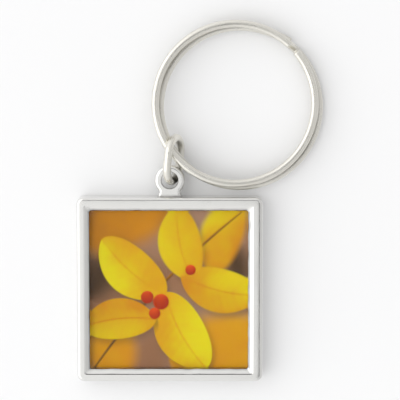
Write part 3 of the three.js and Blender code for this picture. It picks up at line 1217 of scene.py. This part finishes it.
@dataclass
class SplitRing:
    """The split ring: one flattened wire in two turns with a crank between them.

    Attributes are millimetres and degrees. Headings are counter-clockwise from +X.
    """

    wire: Wire = Wire(1.44, 1.5, 2.6, 0.22)
    mean_radius: float = 14.96
    pitch: float = 1.6
    centre: tuple[float, float] = (12.65, 34.66)
    turn_offset: float = 1.15
    offset_heading: float = -32.6
    upper_end: float = 40.2
    crank_top: float = 47.6
    crank_foot: float = 45.4
    lower_end: float = 52.3
    lower_spread: float = 0.45
    spread_arc: float = 22.0
    tilt: float = 3.2
    raised_heading: float = 217.0
    ground_gap: float = 0.02
    line_heading: float = 225.0
    line_spread: float = 70.0
    line_width: float = 0.16
    turn_steps: int = 620
    crank_steps: int = 36

    def stations(self) -> tuple[Floats, Floats, Floats]:
        """The wire's angle, its drop from the upper turn to the lower, and its spread.

        The drop eases from 0 to 1 over the crank, as 3 t squared - 2 t cubed. The spread grows
        with the square of how far the wire is into its last stretch.

        Returns:
            The angles in degrees, the drops and the spreads, from the upper end on.
        """
        upper_arc = 360.0 + self.upper_end - self.crank_top
        lower_arc = 360.0 + self.crank_foot - self.lower_end
        bunched, run_start = np.array([0.0, 0.05, 0.12, 0.25, 0.45, 0.7, 0.95]), 1.2
        run = np.linspace(0.0, 1.0, self.turn_steps)
        from_upper = np.concatenate([bunched, run_start + run * (upper_arc - run_start)])
        part = np.linspace(0.0, 1.0, self.crank_steps + 2)[1:-1]
        crank = self.crank_top - 360.0 - part * (self.crank_top - self.crank_foot)
        to_end = np.concatenate([run * (lower_arc - run_start), lower_arc - bunched[::-1]])
        lower = self.crank_foot - 360.0 - to_end
        eased = part * part * (3.0 - 2.0 * part)
        drop = np.concatenate([np.zeros(len(from_upper)), eased, np.ones(len(lower))])
        into = np.clip(1.0 - (lower_arc - to_end) / self.spread_arc, 0.0, 1.0) ** 2
        spread = np.concatenate([np.zeros(len(drop) - len(into)), self.lower_spread * into])
        return np.concatenate([self.upper_end - from_upper, crank, lower]), drop, spread

    def tilted(self, points: Floats) -> Floats:
        """Turns points so that the raised heading comes up by the tilt, and moves them.

        Points are turned from the raised heading to +X, from +X towards +Z by the tilt, and
        back. They are lifted by the sine of the tilt times the ring's reach.

        Args:
            points: in the ring's own place.

        Returns:
            The points where they lie.
        """
        x, y, z = np.moveaxis(points, -1, 0)
        ahead, aside = spun(x, y, -self.raised_heading)
        ahead, z = spun(ahead, z, self.tilt)
        x, y = spun(ahead, aside, self.raised_heading)
        reach = self.mean_radius + (self.turn_offset + self.wire.width) / 2.0
        lift = self.ground_gap + reach * math.sin(math.radians(self.tilt))
        return np.stack([x, y, z], -1) + np.array([*self.centre, lift])

    def creases(self, angle: Floats, drop: Floats) -> Floats:
        """Where shade is painted: between the turns, under the wire and along its seams.

        A seam is the side of a turn that stands out beyond the other, which the lower turn does
        by turn_offset * cos(angle - heading), and shade is painted along it. A line of painted
        shade runs on the lower turn half a wire, less that, from its middle, under the edge of
        the upper turn. The line is the darkest next to the link.

        Args:
            angle: of each point of the path, in degrees.
            drop: 0 on the upper turn and 1 on the lower.

        Returns:
            The mask, shaped (path points, section points).
        """
        between_shade, under_shade, under_start, far_line = 0.1, 0.7, 0.1, 0.35
        seam_start, seam_run, seam_fade = 0.86, 0.08, 0.6
        x, y = self.wire.section().T
        x_share, y_share = x / (self.wire.width / 2.0), y / (self.wire.height / 2.0)
        angle, drop = angle[:, None], drop[:, None]
        facing = np.cos(np.radians(angle - self.offset_heading))
        # painted shade on the faces where the turns lie on each other, and under the wire elsewhere
        between = ((y < 0.0) & (drop < 0.5)) | ((y > 0.0) & (drop > 0.5))
        inner_face = between_shade * np.clip(np.abs(y_share), 0.0, 1.0) ** 6
        crease = np.where(between, inner_face, np.clip(-y_share - under_start, 0.0, under_shade))
        # painted shade along the side of each turn that stands out beyond the other, fainter on the
        # lower turn
        seam = np.clip((facing * x_share - seam_start) / seam_run, 0.0, 1.0)
        out = self.turn_offset * facing
        line = np.sign(out) * self.wire.width / 2.0 - out
        # a line of painted shade on the lower turn under the upper turn's edge, darkest next to the
        # link
        from_link = (angle - self.line_heading + 180.0) % 360.0 - 180.0
        strength = far_line + (1.0 - far_line) * bell(from_link, 0.0, self.line_spread)
        wear_and_shade = bell(x - line, 0.0, self.line_width) * strength * ((y > 0.0) & (drop > 0.5))
        return np.maximum(np.maximum(crease, seam * (1.0 - seam_fade * drop)), wear_and_shade)

    def build(self, nickel: Material) -> None:
        """Makes the split ring.

        The wire runs at the mean radius plus its spread. Its turns stand half the turn offset
        to either side of the centre, and a pitch apart in height, and the drop moves the wire
        from the upper to the lower.

        Args:
            nickel: its finish.
        """
        angle, drop, spread = self.stations()
        radial = np.stack([*spun(1.0, 0.0, angle), np.zeros_like(angle)], -1)
        shift = self.turn_offset / 2.0 * np.array([*spun(1.0, 0.0, self.offset_heading), 0.0])
        path = (self.mean_radius + spread)[:, None] * radial + (2.0 * drop - 1.0)[:, None] * shift
        path[:, 2] += self.wire.height / 2.0 + (1.0 - drop) * self.pitch
        rows, from_end = self.wire.along(path, radial, np.array([0.0, 0.0, 1.0]))
        edge = bell(from_end, 0.1, 0.12)[:, None]
        # the mask of shade painted between the turns, under the wire and along its seams
        masks = {"edge": edge, "crease": self.creases(angle, drop)}
        shell = Shell(self.tilted(rows), Ends.CAPPED, masks)
        ring = add_piece(shell, "coiled_ring", Body.RING, nickel)
        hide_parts("split_ring")


# --- the studio


@dataclass(frozen=True)
class Card:
    """A level sheet of the stage, in metres, such as a black one over the table.

    Attributes:
        name: its name.
        low, high: its lowest and highest x and y.
        height: how high it lies.
        colour, second: its colour, and a second one with which it is uneven, if any.
        roughness, shine: of its surface.
    """

    name: str
    low: tuple[float, float]
    high: tuple[float, float]
    height: float
    colour: Colour = (0.04, 0.04, 0.04)
    second: Colour | None = None
    roughness: float = 0.9
    shine: float = 0.5

    def build(self) -> None:
        """Makes the card, facing the key ring."""
        material, sheet, shader = new_material(self.name)
        colour = rgba(self.colour)
        if self.second is not None:
            tone = sheet.ramp(sheet.noise(sheet.place(), 6.0), 0.3, 0.7)
            colour = sheet.mix(tone, self.colour, self.second)
        fed = {"Roughness": self.roughness, "Specular IOR Level": self.shine}
        sheet.feed(shader, {"Base Color": colour, **fed})
        mesh = bpy.data.meshes.new(self.name)
        (x0, y0), (x1, y1), z = self.low, self.high, self.height
        corners = [(x0, y0, z), (x1, y0, z), (x1, y1, z), (x0, y1, z)]
        mesh.from_pydata(corners, [], [(0, 1, 2, 3) if z < 0.0 else (3, 2, 1, 0)])
        mesh.materials.append(material)
        placed(self.name, mesh)


@dataclass
class Studio:
    """A white table under soft light with black cards over it, and the camera, in metres."""

    table: Card = Card(
        "table", (-2.0, -2.0), (2.0, 2.0), -0.02 * MM,
        (0.9, 0.9, 0.905), (0.915, 0.915, 0.92), 0.7, 0.2,
    )
    flags: tuple[Card, ...] = (
        Card("flag_right", (0.09, -0.3), (0.15, 0.2), 0.8),
        Card("flag_far", (-0.14, 0.02), (0.09, 0.2), 0.8),
    )
    key_place: Place = (-1.0, 0.1, 1.05)
    key_size: float = 2.0
    key_watts: float = 6.8
    sky_left: Colour = (1.27, 1.27, 1.265)
    sky_right: Colour = (0.66, 0.66, 0.66)
    sky_low_left: Colour = (0.86, 0.86, 0.86)
    camera_place: Place = (0.005687, 0.062105, 0.39993)
    camera_tilt: float = -6.5
    lens: float = 190.98

    def build(self) -> None:
        """Makes the table, the light, the cards, the sky and the camera."""
        self.table.build()
        self.make_key()
        for flag in self.flags:
            flag.build()
        self.make_sky()
        self.make_camera()
        bpy.context.scene.view_settings.view_transform = "Standard"
        LOG.info("studio: a table and %d cards", len(self.flags))

    def make_key(self) -> None:
        """Makes the one soft light, aimed at the key ring."""
        light = bpy.data.lights.new("key", "AREA")
        light.size, light.energy = self.key_size, self.key_watts
        lamp = placed("key", light)
        lamp.location = self.key_place
        lamp.rotation_mode = "QUATERNION"
        lamp.rotation_quaternion = (-lamp.location).to_track_quat("-Z", "Y")

    def make_sky(self) -> None:
        """A pale sky, brighter on the left, but for a duller strip low down on that side."""
        world = bpy.data.worlds.new("studio")
        world.use_nodes = True
        sheet = NodeSheet(world.node_tree)
        heading = sheet.add("ShaderNodeTexCoord").outputs["Generated"]
        x = sheet.add("ShaderNodeSeparateXYZ", {0: heading}).outputs["X"]
        colour = sheet.mix(sheet.ramp(x, -1.0, 1.0), self.sky_left, self.sky_right)
        colour = sheet.mix(sheet.ramp(x, -0.93, -0.98), colour, self.sky_low_left)
        sheet.feed(world.node_tree.nodes["Background"], {"Color": colour})
        bpy.context.scene.world = world

    def make_camera(self) -> None:
        """Makes the camera, looking almost straight down."""
        camera = bpy.data.cameras.new("camera")
        camera.lens, camera.sensor_width = self.lens, 36.0
        camera.clip_start, camera.clip_end = 0.01, 20.0
        holder = placed("camera", camera)
        holder.location = self.camera_place
        holder.rotation_euler = (math.radians(self.camera_tilt), 0.0, 0.0)
        bpy.context.scene.camera = holder


def main() -> None:
    """Builds the key ring and its studio."""
    logging.basicConfig(level=logging.INFO, format="%(name)s: %(message)s")
    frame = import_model()
    effects = Effects()
    Studio().build()
    nickel = NICKEL.material(effects)
    Case().build(frame, effects)
    Link().build(nickel)
    SplitRing().build(nickel)


if __name__ == "__main__":
    main()
